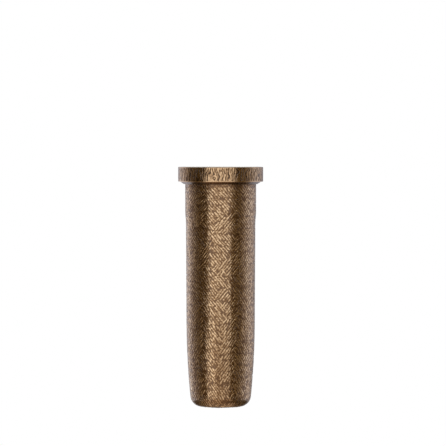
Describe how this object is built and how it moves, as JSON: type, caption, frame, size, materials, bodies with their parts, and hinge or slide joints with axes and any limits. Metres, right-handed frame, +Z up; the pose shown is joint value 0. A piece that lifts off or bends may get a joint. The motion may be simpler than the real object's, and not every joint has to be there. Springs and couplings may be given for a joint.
{
  "type": "wall-mounted memorial vase",
  "caption": "Tapered cast bronze vase tube hanging by its lip in the grained ring of a wall bracket, with a lift-out plastic liner and a lock screw.",
  "frame": {"origin": "middle of the bracket plate's rear face, on the wall", "axes": "+Z up along the vase, +Y into the wall, -Y towards the room, +X to the right seen from the room"},
  "size_m": [0.072, 0.1143, 0.203],
  "materials": {
    "ring_bronze": "cast with an upright grain, dark brown patina rubbed bright on the high lines, clear lacquer",
    "tube_bronze": "cast with hatched strokes, dark brown patina rubbed bright on the high strokes, clear lacquer",
    "screw_steel": "plain stainless steel",
    "plug_nylon": "moulded grey nylon",
    "bumper_rubber": "moulded black rubber",
    "liner_plastic": "moulded natural polythene, milky white"
  },
  "bodies": {
    "bracket": {"ring_bracket": "ring_bronze", "wall_screw_upper": "screw_steel", "wall_screw_lower": "screw_steel", "wall_plug_upper": "plug_nylon", "wall_plug_lower": "plug_nylon", "rubber_bumper": "bumper_rubber", "seat_gasket": "bumper_rubber"},
    "lock": {"lock_screw": "screw_steel"},
    "vase": {"vase_body": "tube_bronze"},
    "liner": {"liner": "liner_plastic"}
  },
  "joints": [
    {"name": "vase_lift", "type": "slide", "parent": "bracket", "child": "vase", "axis": [0, 0, 1], "range_m": [0, 0.215]},
    {"name": "liner_lift", "type": "slide", "parent": "vase", "child": "liner", "axis": [0, 0, 1], "range_m": [0, 0.205]},
    {"name": "lock_screw_travel", "type": "slide", "parent": "bracket", "child": "lock", "axis": [-0.788, 0.6157, 0], "range_m": [0, 0.003]}
  ]
}
